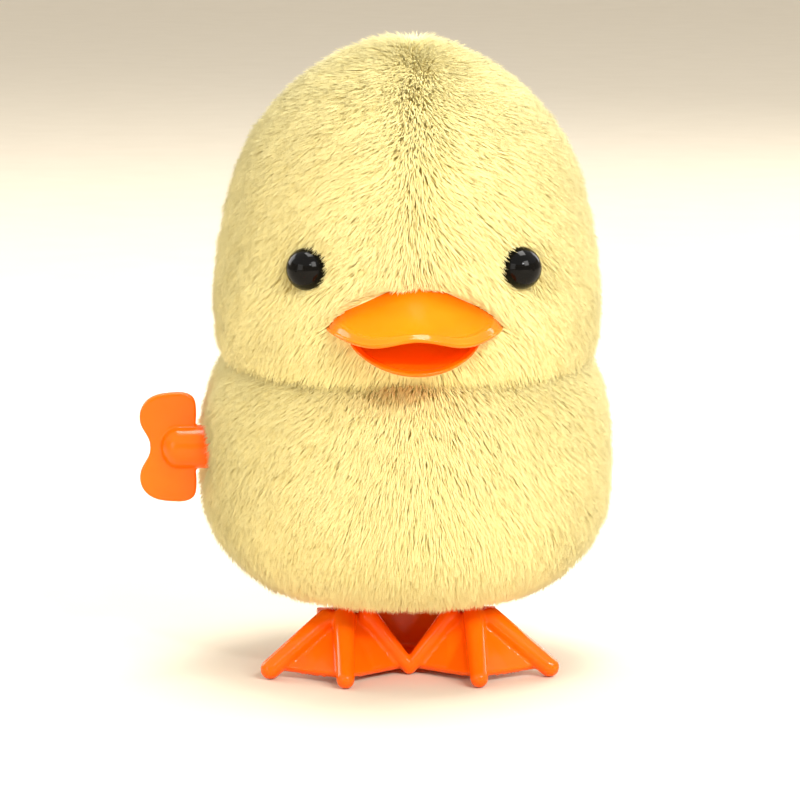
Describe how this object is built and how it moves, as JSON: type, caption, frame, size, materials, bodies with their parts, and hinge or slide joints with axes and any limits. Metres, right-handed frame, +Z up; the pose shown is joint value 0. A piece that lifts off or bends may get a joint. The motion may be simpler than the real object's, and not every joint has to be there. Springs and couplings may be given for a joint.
{
  "type": "wind-up hopping chick",
  "caption": "Plush-covered wind-up chick with a wide bill, glass-like eyes, a butterfly winding key and webbed feet on rocking levers driven by a clockwork motor.",
  "frame": {"origin": "on the ground, under the middle of the feet's flat heel, on the chick's plane of symmetry", "axes": "+Z up, the chick faces -Y, +X is its left side and the winding key is on -X"},
  "size_m": [0.0656, 0.0661, 0.0879],
  "materials": {
    "plush": "short dense pile",
    "shell_plastic": "moulded",
    "orange_plastic": "gloss",
    "mouth_plastic": "gloss",
    "eye_plastic": "gloss",
    "gearbox_plastic": "moulded",
    "gear_plastic": "moulded",
    "steel": "bright",
    "spring_steel": "blued"
  },
  "bodies": {
    "toy_body": {"plush_head_left": "plush", "plush_head_right": "plush", "plush_body_front": "plush", "plush_body_back": "plush", "shell_left": "shell_plastic", "shell_right": "shell_plastic", "shell_screws": "steel", "eye_left": "eye_plastic", "eye_right": "eye_plastic", "eye_washers": "steel", "beak_upper": "orange_plastic", "beak_lower": "mouth_plastic", "beak_push_nuts": "steel", "gearbox_case_left": "gearbox_plastic", "gearbox_case_right": "gearbox_plastic", "gearbox_screws": "steel", "mainspring": "spring_steel", "second_wheel_pin": "steel", "escape_wheel_pin": "steel", "pallet_pin": "steel", "base_plate": "orange_plastic", "base_plate_screws": "steel", "foot_hinge_pin": "steel", "hinge_pin_clips": "steel"},
    "key_set": {"winding_key": "orange_plastic", "winding_arbor": "steel", "ratchet_click": "spring_steel"},
    "great_wheel_set": {"great_wheel": "gear_plastic"},
    "second_wheel_set": {"second_wheel": "gear_plastic"},
    "crank_set": {"crank_gear": "gear_plastic", "crank_shaft": "steel", "crank_disc_left": "steel", "crank_disc_right": "steel"},
    "escape_set": {"escape_wheel": "gear_plastic"},
    "pallet_set": {"pallet": "gear_plastic"},
    "feet_set": {"feet": "orange_plastic", "leg_lever_left": "orange_plastic", "leg_lever_right": "orange_plastic", "leg_screws": "steel"}
  },
  "joints": [
    {"name": "crank_turn", "type": "hinge", "parent": "toy_body", "child": "crank_set", "pos_m": [0, -0.00291, 0.02086], "axis": [1, 0, 0], "continuous": true},
    {"name": "key_turn", "type": "hinge", "parent": "toy_body", "child": "key_set", "pos_m": [0, -0.002, 0.031], "axis": [1, 0, 0], "continuous": true},
    {"name": "great_wheel_turn", "type": "hinge", "parent": "toy_body", "child": "great_wheel_set", "pos_m": [0, -0.002, 0.031], "axis": [1, 0, 0], "continuous": true},
    {"name": "second_wheel_turn", "type": "hinge", "parent": "toy_body", "child": "second_wheel_set", "pos_m": [0, 0.00617, 0.02364], "axis": [1, 0, 0], "continuous": true},
    {"name": "escape_turn", "type": "hinge", "parent": "toy_body", "child": "escape_set", "pos_m": [0, -0.01122, 0.02263], "axis": [1, 0, 0], "continuous": true},
    {"name": "pallet_rock", "type": "hinge", "parent": "toy_body", "child": "pallet_set", "pos_m": [0, -0.00847, 0.02739], "axis": [1, 0, 0], "range_deg": [-4, 4]},
    {"name": "foot_rock", "type": "hinge", "parent": "toy_body", "child": "feet_set", "pos_m": [0, 0.0116, 0.0166], "axis": [1, 0, 0], "range_deg": [0, 11.5]}
  ],
  "couplings": [
    {"joint": "key_turn", "follows": "crank_turn", "ratio": 0.10504},
    {"joint": "great_wheel_turn", "follows": "crank_turn", "ratio": 0.10504},
    {"joint": "second_wheel_turn", "follows": "crank_turn", "ratio": -0.35714},
    {"joint": "escape_turn", "follows": "crank_turn", "ratio": -2.4}
  ]
}
